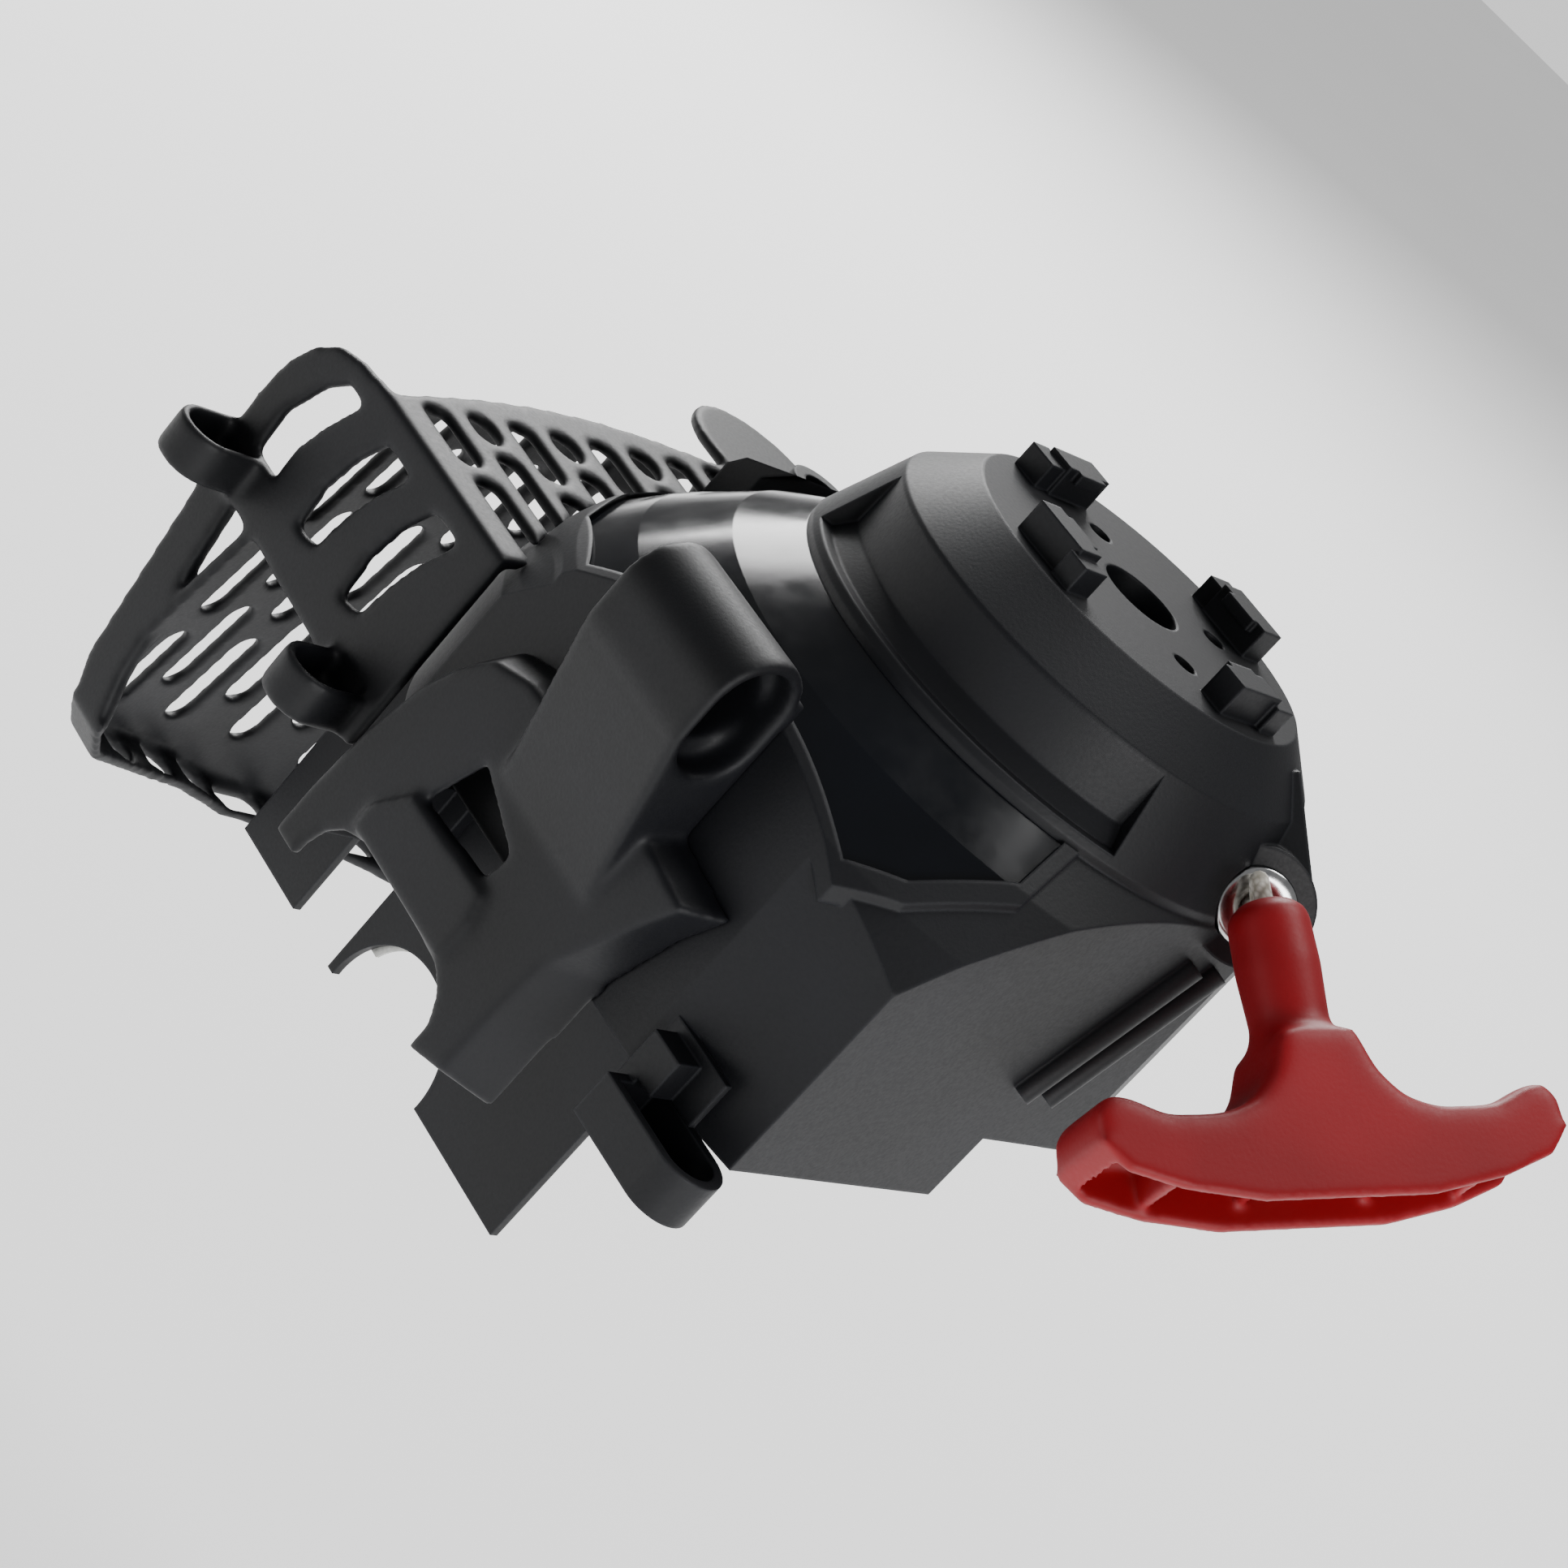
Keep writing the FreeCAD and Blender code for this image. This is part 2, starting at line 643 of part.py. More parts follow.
def pawl_pin(name, turn):
    """Headed pin that the pawl swings on, pressed into the reel's flange."""
    shank = cylinder(name + "_shank", "pin_radius", "reel_low + flange - pawl_low + 0.9", "pawl_reach", 0,
                     "pawl_low - 0.9")
    head = cylinder(name + "_head", "pin_radius + 1.2", 0.6, "pawl_reach", 0, "pawl_low - 0.9")
    return node(name, turned(fuse(name + "_pin", shank, head), turn))


def friction_plate():
    """Cam plate: a disc whose two windows drive the pawls' pegs outwards."""
    disc = turning("cam_disc", [
        ("shoulder_radius + running_gap", "plate_low"),
        ("reel_radius - 2.5", "plate_low"),
        ("reel_radius - 2.5", "plate_high"),
        ("shoulder_radius + running_gap", "plate_high"),
    ])
    windows = [band("cam_window_%d" % turn, [
        ("pawl_reach + 1", "plate_low - 1"),
        ("reel_radius - 4", "plate_low - 1"),
        ("reel_radius - 4", "plate_high + 1"),
        ("pawl_reach + 1", "plate_high + 1"),
    ], turn - 40, 27) for turn in PAWL_TURNS]
    return node("friction_plate", cut("cam_plate_cut", disc, *windows))


def centre_screw():
    """Shoulder screw that holds the ratchet and the reel on the housing's post."""
    thread = cylinder("screw_thread", "screw_radius", "well_floor - post_end", 0, 0, "post_end")
    shoulder = cylinder("screw_shoulder", "shoulder_radius", "post_end - screw_head_top", 0, 0, "screw_head_top")
    head = cylinder("screw_head", "shoulder_radius + 3.5", 3, 0, 0, "screw_head_top - 3")
    socket = cylinder("screw_socket", "screw_radius", 3, 0, 0, "screw_head_top - 4")
    return node("centre_screw", cut("centre_screw_cut", fuse("screw_blank", thread, shoulder, head), socket))


# ---------------------------------------------------------------- rope and pull handle

def tube(name, points, radius):
    """A round cord along straight runs joined by tangent arcs."""
    edges = []
    start = points[0]
    for before, corner, after in zip(points, points[1:], points[2:]):
        back = (before - corner).normalize()
        onward = (after - corner).normalize()
        half_turn = (math.pi - back.getAngle(onward)) / 2
        run = 0.45 * min((before - corner).Length, (after - corner).Length)
        bend = run / math.tan(half_turn)
        middle_way = (back + onward).normalize()
        middle = corner + middle_way * (bend / math.cos(half_turn) - bend)
        entry = corner + back * run
        leave = corner + onward * run
        edges.append(Part.makeLine(start, entry))
        edges.append(Part.Arc(entry, middle, leave).toShape())
        start = leave
    edges.append(Part.makeLine(start, points[-1]))
    path = Part.Wire(edges)
    direction = (points[1] - points[0]).normalize()
    section = Part.Wire(Part.makeCircle(radius, points[0], direction))
    cord = doc.addObject("Part::Feature", name + "_cord")
    cord.Shape = path.makePipeShell([section], True, False, 2)
    expected = math.pi * radius ** 2 * path.Length
    print(name, "length %.1f mm, volume ratio %.4f" % (path.Length, cord.Shape.Volume / expected))
    return node(name, cord)


PULL_AXIS = FreeCAD.Vector(-0.066, -0.911, -0.432).normalize()
BAR_AXIS = FreeCAD.Vector(0.827, -0.397, 0.398).normalize()
HANDLE_TOP = FreeCAD.Vector(-0.4, -58.25, 143.26)


def rope_route():
    """Where the rope leaves the reel, enters the guide and turns down into the handle."""
    wound = size("coil_radius") + size("rope_radius") + 0.2
    entry = guide_point(-size("guide_length"))
    groove = (size("reel_low") + size("reel_high")) / 2
    reach = math.hypot(entry.x, entry.y)
    angle = math.atan2(entry.y, entry.x) + math.acos(wound / reach)
    leaving = FreeCAD.Vector(wound * math.cos(angle), wound * math.sin(angle), groove)
    inner = [leaving, entry, guide_point(1.5)]
    crest = HANDLE_TOP - PULL_AXIS * 3.5
    outer = [guide_point(1.5), guide_point(4), crest, HANDLE_TOP + PULL_AXIS * size("rope_grip")]
    return inner, outer


def handle_frame():
    """Placement of the handle: its own Z runs up its stem, its own X along its bar."""
    up = PULL_AXIS * -1
    side = (BAR_AXIS - up * BAR_AXIS.dot(up)).normalize()
    depth = up.cross(side)
    matrix = FreeCAD.Matrix(side.x, depth.x, up.x, HANDLE_TOP.x, side.y, depth.y, up.y, HANDLE_TOP.y,
                            side.z, depth.z, up.z, HANDLE_TOP.z, 0, 0, 0, 1)
    return FreeCAD.Placement(matrix)


def mirrored(term):
    """The same sum of cells and numbers with every sign turned round."""
    text = term if term.startswith("-") else "+ " + term
    return text.translate(str.maketrans("+-", "-+"))


def pull_handle():
    """T handle: round stem, arched bar, hollow underside with cross ribs."""
    stem = turning("stem_turning", [
        ("0", "-2"), ("stem_radius - 2.6", "-2"), ("stem_radius - 0.4", "-4"), ("stem_radius", "-6"),
        ("stem_radius + 0.2", "-14"),
        ("stem_radius - 0.3", "-24"), ("stem_radius + 2", "-34"), ("stem_radius + 2", "-46"), ("0", "-46"),
    ])
    half = [("stem_radius", "-27"), ("stem_radius + 2.5", "-34.5"), ("stem_radius + 7", "-39.5"),
            ("stem_radius + 13", "-41.5"), ("handle_half - 13", "-41.5"), ("handle_half - 7", "-38.5"),
            ("handle_half - 3", "-37.5"), ("handle_half", "-40.5"), ("handle_half", "-46"),
            ("handle_half - 4", "-51"), ("handle_half - 14", "-54.5"), ("handle_half - 28", "-handle_height")]
    outline_points = half + [(mirrored(x), z) for x, z in reversed(half)]
    bar = solid_of("handle_bar", "XZ_Plane", outline_points, "-handle_depth / 2", "handle_depth")
    inner = [("handle_half - 3", "-44"), ("handle_half - 3", "-handle_height - 4"),
             ("3 - handle_half", "-handle_height - 4"), ("3 - handle_half", "-44")]
    channel = solid_of("handle_channel", "XZ_Plane", inner, "-handle_depth / 2 + 2.6", "handle_depth - 5.2")
    ribs = [box("handle_rib_%d" % index, (str(x), str(x + 2)), ("-handle_depth / 2 + 1", "handle_depth / 2 - 1"),
                (-53, -43)) for index, x in enumerate((-31, -13, 11, 29))]
    socket = cylinder("handle_knot_boss", "stem_radius - 0.8", 6, 0, 0, -48)
    rope_way = cylinder("handle_rope_way", "rope_radius + 0.35", "handle_height", 0, 0, "-handle_height + 1")
    entry = cylinder("handle_rope_entry", "rope_radius + 1.3", 8, 0, 0, -6)
    knot_room = cylinder("handle_knot_room", "knot_radius + 0.3", 14, 0, 0, "-rope_grip - 14.3")
    hollow = cut("handle_hollow", fuse("handle_blank", stem, bar), channel)
    handle = cut("handle_cut", fuse("handle_ribbed", hollow, socket, *ribs), rope_way, entry, knot_room)
    handle.Placement = handle_frame()
    return node("pull_handle", handle)


def handle_knot():
    """The rope's stopper knot, as a ball, seated under the handle's socket."""
    ball = doc.addObject("Part::Sphere", "knot_ball")
    ball.setExpression("Radius", formula("knot_radius"))
    seat = HANDLE_TOP + PULL_AXIS * (size("rope_grip") + size("knot_radius"))
    ball.Placement.Base = seat
    return node("handle_knot", ball)


def rope_ferrule():
    """Bright steel eyelet in the mouth of the rope guide."""
    sleeve = guide_cylinder("ferrule_sleeve", "guide_bore", -5, 5)
    lip = guide_cylinder("ferrule_lip", "ferrule_radius", 0, 1.4)
    bore = guide_cylinder("ferrule_bore", "rope_hole", -6, 9)
    return node("rope_ferrule", cut("ferrule_cut", fuse("ferrule_blank", sleeve, lip), bore))


# ---------------------------------------------------------------- cylinder guard

def guard_arch(name, drop):
    """Everything from the guard's arched, rearward-rising top surface down to this drop below it."""
    crown = [(-73, 0), (-60, 3.2), (-45, 6.2), (-30, 8), (-15, 8.5), (0, 7.2), (15, 4.4), (30, 0), (47, -6.5)]
    over = [(str(x), "guard_brow + %s" % rise) for x, rise in crown]
    under = [(str(x), "guard_brow + %s - %s" % (rise, drop)) for x, rise in reversed(crown)]
    body = solid_of(name, "XY_Plane", over + under, "-40", "170")
    tilt = FreeCAD.Rotation(FreeCAD.Vector(1, 0, 0), 9.4)
    pivot = FreeCAD.Vector(0, size("guard_brow"), size("guard_front"))
    body.Placement = FreeCAD.Placement(FreeCAD.Vector(), tilt, pivot)
    return body


REAR_BOW = [("-near_wall", "2"), ("-near_wall + 8", "-7"), ("-near_wall + 27", "-12"),
            ("-near_wall + 42", "-15"), ("-near_wall + 58", "-guard_bow"), ("guard_far", "-guard_bow - 2")]


def guard_plates():
    """Canopy, front wall, rear rim, near panel and far lobe, as separate solids."""
    high = "-guard_brow - 40"
    front = [("guard_far", "guard_front + guard_slant"), ("-near_wall", "guard_front")]
    canopy = common("guard_canopy", guard_arch("canopy_arch", "guard_skin"),
                    solid_of("canopy_plan", "XZ_Plane", REAR_BOW + front, high, "100"))
    back = [(x, z + " - guard_skin") for x, z in reversed(front)]
    wall = common("guard_wall", guard_arch("wall_arch", "60"),
                  solid_of("wall_plan", "XZ_Plane", front + back, high, "guard_brow + 40 - guard_foot"))
    strip = [(x, z + " + guard_skin + 0.4") for x, z in reversed(REAR_BOW)]
    rim = common("guard_rim", guard_arch("rim_arch", "guard_rim_drop"),
                 solid_of("rim_plan", "XZ_Plane", REAR_BOW + strip, high, "100"))
    panel = solid_of("guard_panel", "YZ_Plane", [
        ("guard_foot", "guard_front - 2"), ("104.5", "guard_front"), ("115", "guard_front - 1"), ("122", "91.5"),
        ("127", "87"), ("130", "81"), ("131", "72"), ("130.6", "62"), ("129.3", "50"), ("120", "54"),
        ("81", "guard_panel_rear"), ("guard_foot", "guard_panel_rear")], "-near_wall", "guard_skin")
    crest = solid_of("guard_crest", "YZ_Plane", [
        ("129.4", "56"), ("123.4", "10"), ("119", "1.5"), ("109", "3"), ("113", "14"), ("119", "56")],
        "-near_wall", "guard_skin + 1.2")
    lobe = cylinder("guard_lobe", 17, "guard_skin", "guard_far - 9", 112, "guard_front + guard_slant - 4")
    return [canopy, wall, rim, panel, crest, lobe]


PANEL_WINDOWS = [
    [(122, 64.5), (122.8, 74), (118.5, 84), (114, 88.5), (108, 88.5), (112, 80), (114.5, 72), (114, 64.5)],
    [(102, 63), (103, 72), (101, 81), (97.5, 88), (88, 88), (92, 80), (94.5, 72), (95.5, 64)],
    [(83, 62.5), (83.8, 72), (82, 81), (78.5, 88), (69.5, 88.3), (73.5, 80), (75.8, 72), (77, 64)],
]


RIM_WINDOWS = [(-60, 119, 33.5), (-44, 122, 30), (-28, 123.9, 27), (-12, 123.7, 24), (4, 122.1, 23.5), (20, 118.5, 23)]


def guard_openings():
    """Windows of the near panel, and staggered slots in the front wall, the canopy and the rear rim."""
    cuts = []
    for index, corners in enumerate(PANEL_WINDOWS):
        window = [(str(y), str(z)) for y, z in corners]
        cuts.append(solid_of("panel_window_%d" % index, "YZ_Plane", window, "-near_wall - 1", "guard_skin + 2"))
    for column in range(9):
        middle = "-near_wall + %.1f" % (11 + 11 * column)
        stagger = 9 * (column % 2)
        for row, (low, high) in enumerate(((63, 80), (90, 101))):
            cuts.append(slot("wall_slot_%d_%d" % (row, column), "XY_Plane", (middle, str(low + stagger)),
                             (middle, str(high + stagger * (1 - row))), "slot_radius", "guard_front - 6", "22"))
        lean = -1.4 * column
        for row, start in enumerate((4, 34, 63)):
            low = start + stagger + lean * (row == 0)
            high = start + stagger + 17 + 0.8 * column * (row == 2)
            cuts.append(slot("top_slot_%d_%d" % (row, column), "XZ_Plane", (middle, str(low)), (middle, str(high)),
                             "slot_radius", "-guard_brow - 35", "46"))
    for index, (x, y, reach) in enumerate(RIM_WINDOWS):
        cuts.append(slot("rim_slot_%d" % index, "XY_Plane", (str(x), str(y)), (str(x + 8), str(y)),
                         "slot_radius", "-40", reach))
    return cuts


def cylinder_guard():
    """Grille cage over the engine's cylinder, with two screw ears on its near side."""
    solids = guard_plates()
    cuts = guard_openings()
    for name in ("top_ear", "flank_ear"):
        ear, ear_cuts = screw_ear(name, "-near_wall + guard_skin", "x")
        solids += ear
        cuts += ear_cuts
    foot = box("flank_ear_foot", ("-near_wall", "-near_wall + guard_skin"), ("guard_foot", "guard_foot + 18"),
               ("flank_ear_z", "guard_panel_rear + 2"))
    solids.append(foot)
    guard = cut("guard_cut", fuse("guard_blank", *solids), *cuts)
    shadow = common("guard_shadow", fuse("trim_bell_and_brow", bell("bell_trim", False), brow(), label_rim()),
                    plan("plan_trim", False))
    return node("cylinder_guard", cut("guard_trim", guard, shadow))


# ---------------------------------------------------------------- flank shroud and air guide

SHROUD_FACE = [(51.3, 31.4), (-1.3, 31), (-10.2, 34.2), (-10.4, 50), (-11.5, 62), (-20.1, 80.2), (-25.1, 89.3),
               (-10.4, 91), (28.4, 90), (37.7, 86.6), (43.3, 79.2), (46.5, 72.1), (49.8, 57.8), (51, 44)]
SHROUD_ROOT = [(55.5, 30.5), (-1.3, 30), (-17, 33), (-17.5, 50), (-18.5, 66), (-23, 81), (-28, 91),
               (-10, 93), (31, 92), (41, 88.5), (47, 80.5), (50.5, 73), (54, 58), (55.2, 44)]
SHROUD_HOLLOW = [(48.8, 25), (-1.3, 25), (-7.6, 25), (-7.9, 49), (-9, 61), (-17.4, 79), (-22, 87),
                 (-10.4, 88.4), (27.4, 87.4), (36, 84.4), (41, 78), (44, 71.4), (47.3, 57), (48.5, 44)]
SHROUD_CAVITY = [(53, 24), (-1.3, 24), (-14.4, 24), (-14.9, 49), (-16, 65), (-20.4, 80), (-25, 88.6),
                 (-10, 90.5), (30, 89.5), (39.4, 86), (44.6, 79), (48, 72), (51.5, 57), (52.7, 44)]


def paired(corners):
    """Corner numbers as terms for a sketch."""
    return [(str(first), str(second)) for first, second in corners]


def flank_shroud():
    """Side moulding: a hollow cover with a round-cornered notch, and the upright well beside the cap."""
    cover = loft("shroud_cover", "YZ_Plane", paired(SHROUD_ROOT), "-near_wall", paired(SHROUD_FACE), "-shroud_face")
    hollow = loft("shroud_hollow", "YZ_Plane", paired(SHROUD_CAVITY), "-near_wall + 1", paired(SHROUD_HOLLOW),
                  "-shroud_face + shroud_gauge")
    flap = solid_of("shroud_flap", "YZ_Plane", [
        ("37.6", "46"), ("37.6", "51"), ("31.5", "59.6"), ("6.5", "60.5"), ("4.5", "54.4"), ("5", "46")],
        "-shroud_face - 1.4", "2.4")
    notch = solid_of("shroud_notch", "YZ_Plane", [
        ("45.4", "22"), ("44.6", "34"), ("43", "39"), ("39.6", "42.9"), ("33.3", "45.5"), ("10.2", "44.8"),
        ("4.8", "44"), ("0.6", "41"), ("-1.8", "36.5"), ("-1.3", "22")], "-shroud_face - 4", "24")
    opening = solid_of("shroud_opening", "YZ_Plane", [
        ("30.3", "60"), ("25.1", "74"), ("8.5", "68"), ("9.6", "61.5")], "-shroud_face - 4", "9")
    ends = [cylinder("tube_out_%d" % index, "tube_radius", "tube_length", "-tube_x", "tube_y", height, ALONG_Y)
            for index, height in enumerate(("tube_z - tube_half", "tube_z + tube_half"))]
    waist = box("tube_waist", ("-tube_x - tube_radius", "-tube_x + tube_radius"),
                ("tube_y", "tube_y + tube_length"), ("tube_z - tube_half", "tube_z + tube_half"))
    tail = solid_of("tube_tail", "XZ_Plane", [
        ("-tube_x - 10.6", "tube_z - 2"), ("-tube_x - 9.4", "tube_z - 9"), ("-shroud_face - 0.5", "76"),
        ("-shroud_face + 3", "76"), ("-near_wall + 1", "90"), ("-near_wall + 1", "tube_z + 8")],
        "-tube_y - tube_length", "tube_length")
    bores = [cylinder("tube_in", "tube_bore", "tube_length - 4", "-tube_x", "tube_y - 1", "tube_z", ALONG_Y)]
    for index, height in enumerate(("tube_z - tube_half", "tube_z + tube_half")):
        bores.append(cylinder("tube_mouth_%d" % index, "tube_bore", 7, "-tube_x", "tube_y - 1", height, ALONG_Y))
    bores.append(box("tube_mouth_waist", ("-tube_x - tube_bore", "-tube_x + tube_bore"), ("tube_y - 1", "tube_y + 6"),
                     ("tube_z - tube_half", "tube_z + tube_half")))
    blank = fuse("shroud_blank", cut("shroud_shell", cover, hollow), flap, *ends, waist, tail)
    shadow = common("shroud_shadow", fuse("shadow_bell_and_frame", bell("bell_shadow", False), label_rim()),
                    plan("plan_shadow", False))
    return node("flank_shroud", cut("shroud_cut", blank, notch, opening, *bores, shadow))


def air_guide_plate():
    """Flat baffle between cylinder and flank, with a round notch and a long slot in its edge."""
    plate = solid_of("baffle_plate", "YZ_Plane", [
        (-14.5, 0), (91, 0), (91, "rear_edge - 0.5"), (-14.5, "rear_edge - 0.5"),
    ], "-guide_plate", "guide_gauge")
    notch = cylinder("baffle_notch", 17.5, 10, "-guide_plate - 4", 34, 1, ALONG_X)
    gap = box("baffle_gap", ("-guide_plate - 4", "-guide_plate + 6"), (53.4, 68.8), (-1, 26))
    return node("air_guide_plate", cut("baffle_cut", plate, notch, gap))


def heat_shield():
    """Bright sheet behind the baffle, with the same round notch cut a little smaller."""
    sheet = box("shield_sheet", ("-guide_plate + guide_gauge", "-guide_plate + guide_gauge + sheet_steel"),
                (4, 52), (9, 50))
    notch = cylinder("shield_notch", 14.5, 10, "-guide_plate - 2", 34, 4, ALONG_X)
    return node("heat_shield", cut("shield_cut", sheet, notch))


def shield_clip():
    """Small moulded bracket that spans from the baffle to the flank shroud."""
    web = box("clip_web", ("-near_wall + 0.5", "-guide_plate"), (55, 58), (30, 46))
    foot = box("clip_foot", ("-guide_plate - 3", "-guide_plate"), (50, 63), (30, 46))
    return node("shield_clip", fuse("clip_blank", web, foot))


# ---------------------------------------------------------------- assembly

starter_housing()
label_panel()
rope_ferrule()
cylinder_guard()
flank_shroud()
air_guide_plate()
heat_shield()
shield_clip()
spring_case()
recoil_spring()
ring("spring_cover", "spring_hub_radius + 0.7", "spring_case_radius", "cover_high - sheet_steel", "cover_high")
reel()
ring("rope_coil", "reel_core", "coil_radius", "reel_low + flange", "reel_high - flange")
ring("reel_washer", "shoulder_radius", "hub_radius - 0.5", "reel_hub_low - 1.1", "reel_hub_low - 0.1")
for letter, turn in zip("ab", PAWL_TURNS):
    pawl("pawl_" + letter, turn)
    pawl_pin("pawl_pin_" + letter, turn)
friction_plate()
node("friction_spring", torus("friction_coil", "shoulder_radius + 4", 0.85, 0, 0, "plate_low - 0.9"))
centre_screw()
inner_route, outer_route = rope_route()
tube("rope_run", inner_route, size("rope_radius"))
tube("rope_end", outer_route, size("rope_radius"))
handle_knot()
pull_handle()

doc.recompute()
for thing in doc.Objects:
    if "Invalid" in thing.State or "Error" in thing.State:
        raise RuntimeError(thing.Name + " failed: " + str(thing.State))
for thing in NODES:
    if thing.Shape.isNull() or not thing.Shape.isValid():
        raise RuntimeError(thing.Label + " has no valid shape")
    print(thing.Label, round(thing.Shape.Volume / 1000, 2), "cm3", len(thing.Shape.Solids), "solids")
    thing.Shape.exportStep("parts/" + thing.Label + ".step")
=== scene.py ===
# %% [markdown]
# # A recoil starter in its fan housing
# The object is the pull starter of a small air-cooled engine: a moulded housing with a round cap, a rope
# and a red T handle, and a grille that guards the cylinder. The CAD part holds every size. Blender adds
# the finishes, the soft edges of the mouldings, and the pieces that CAD only stands in for, such as the
# rope. Everything is in metres in the CAD part's frame, so no piece needs fitting.

# %% Load the fixed frame
import json
import math

import bmesh
import bpy
from mathutils import Matrix, Vector

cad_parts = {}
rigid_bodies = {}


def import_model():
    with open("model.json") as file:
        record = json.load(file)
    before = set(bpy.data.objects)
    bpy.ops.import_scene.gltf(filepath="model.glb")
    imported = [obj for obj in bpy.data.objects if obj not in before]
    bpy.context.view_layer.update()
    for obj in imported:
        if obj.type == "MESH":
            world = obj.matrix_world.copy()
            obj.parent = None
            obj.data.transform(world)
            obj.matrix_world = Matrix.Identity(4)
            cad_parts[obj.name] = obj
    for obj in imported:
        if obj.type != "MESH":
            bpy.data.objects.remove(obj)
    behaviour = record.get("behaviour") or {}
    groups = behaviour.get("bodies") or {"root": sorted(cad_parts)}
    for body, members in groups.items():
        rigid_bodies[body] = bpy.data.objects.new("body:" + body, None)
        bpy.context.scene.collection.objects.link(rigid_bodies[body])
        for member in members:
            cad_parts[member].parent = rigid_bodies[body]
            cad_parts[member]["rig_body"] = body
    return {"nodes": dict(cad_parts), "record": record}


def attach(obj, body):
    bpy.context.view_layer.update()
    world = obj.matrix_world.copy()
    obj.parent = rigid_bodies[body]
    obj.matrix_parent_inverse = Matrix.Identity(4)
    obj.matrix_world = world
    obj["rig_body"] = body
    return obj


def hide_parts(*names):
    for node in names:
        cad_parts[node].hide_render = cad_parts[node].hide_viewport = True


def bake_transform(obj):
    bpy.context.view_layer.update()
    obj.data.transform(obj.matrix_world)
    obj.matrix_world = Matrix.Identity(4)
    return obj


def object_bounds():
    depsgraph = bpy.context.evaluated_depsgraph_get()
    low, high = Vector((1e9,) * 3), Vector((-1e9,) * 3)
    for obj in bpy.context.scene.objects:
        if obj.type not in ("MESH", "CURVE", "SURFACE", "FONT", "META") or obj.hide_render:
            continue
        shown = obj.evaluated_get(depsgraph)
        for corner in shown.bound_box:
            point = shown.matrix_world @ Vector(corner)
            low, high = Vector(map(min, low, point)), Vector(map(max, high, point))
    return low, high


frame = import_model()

MM = 0.001
cad_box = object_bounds()
nodes = frame["nodes"]

# %% [markdown]
# The camera comes first, because it decides what can be seen. It looks down the near flank of the starter
# and is rolled, so the crank axis leans to the upper right. Three axes that stand square to each other
# give its turn: the view's right, its up, and the direction back to the viewer.

# %% Camera
back = Vector((-0.7907, -0.5131, 0.3341)).normalized()
up = back.cross(Vector((0.592, -0.50, 0.632))).normalized()
right = up.cross(back).normalized()
lens = bpy.data.cameras.new("camera")
lens.lens = 83.85
lens.sensor_width = 36
camera = bpy.data.objects.new("camera", lens)
turn = Matrix((right, up, back)).transposed().to_4x4()
camera.matrix_world = Matrix.Translation((-0.54819, -0.32593, 0.3142)) @ turn
bpy.context.scene.collection.objects.link(camera)
bpy.context.scene.camera = camera
print("camera", lens.lens, "mm lens")

# %% [markdown]
# Black plastic is shown by what it mirrors. A soft light behind the starter draws pale rims along the
# upper edges, one low on the skirt's side lifts the flat skirt to a mid grey, and one high above lights
# the cap's face. The rest of the room stays dim, so the faces between them fall to black. The room is
# white only where the camera looks straight at it.
#
# The floor lies well below the part, so that the handle stays above it when the rope is pulled out.

# %% Floor, room and lights
FLOOR_GAP = 0.14
floor_mesh = bpy.data.meshes.new("floor")
sketch = bmesh.new()
bmesh.ops.create_grid(sketch, x_segments=1, y_segments=1, size=6.0)
bmesh.ops.translate(sketch, verts=sketch.verts, vec=(0, 0, cad_box[0][2] - FLOOR_GAP))
sketch.to_mesh(floor_mesh)
sketch.free()
floor = bpy.data.objects.new("floor", floor_mesh)
bpy.context.scene.collection.objects.link(floor)

room = bpy.data.worlds.new("studio")
room.use_nodes = True
sky = room.node_tree.nodes["Background"]
sky.inputs["Color"].default_value = (1, 1, 1, 1)
seen = room.node_tree.nodes.new("ShaderNodeLightPath").outputs["Is Camera Ray"]
dimmer = room.node_tree.nodes.new("ShaderNodeMapRange")
dimmer.inputs["To Min"].default_value = 0.22
dimmer.inputs["To Max"].default_value = 1.0
room.node_tree.links.new(seen, dimmer.inputs["Value"])
room.node_tree.links.new(dimmer.outputs["Result"], sky.inputs["Strength"])
bpy.context.scene.world = room


def lamp(name, place, aim, size, watts):
    """A square soft light at a place, turned to face a point."""
    light = bpy.data.lights.new(name, "AREA")
    light.size = size
    light.energy = watts
    holder = bpy.data.objects.new(name, light)
    direction = Vector(aim) - Vector(place)
    facing = direction.to_track_quat("-Z", "Y").to_matrix().to_4x4()
    holder.matrix_world = Matrix.Translation(place) @ facing
    bpy.context.scene.collection.objects.link(holder)
    return holder


lamp("rim light", (1.2, 1.9, 1.3), (0, 0, 0.08), 1.3, 78)
lamp("skirt light", (-0.6, -1.9, 0.45), (0, 0, 0.1), 1.0, 26)
lamp("cap light", (0.7, 0.2, 2.2), (0, 0, 0.1), 1.0, 26)
print("three soft lights over a floor at", round((cad_box[0][2] - FLOOR_GAP) / MM, 1), "mm")

# %% [markdown]
# Two helpers make every finish. One turns an sRGB hex colour into the linear colour that sockets hold. The
# other adds a node, sets what it is told, and links what it is given, so each finish reads as a recipe.

# %% Colour and node helpers
def paint(code):
    """Linear colour of an sRGB hex code."""
    channels = [int(code[place:place + 2], 16) / 255 for place in (1, 3, 5)]
    linear = [c / 12.92 if c <= 0.04045 else ((c + 0.055) / 1.055) ** 2.4 for c in channels]
    return (*linear, 1.0)


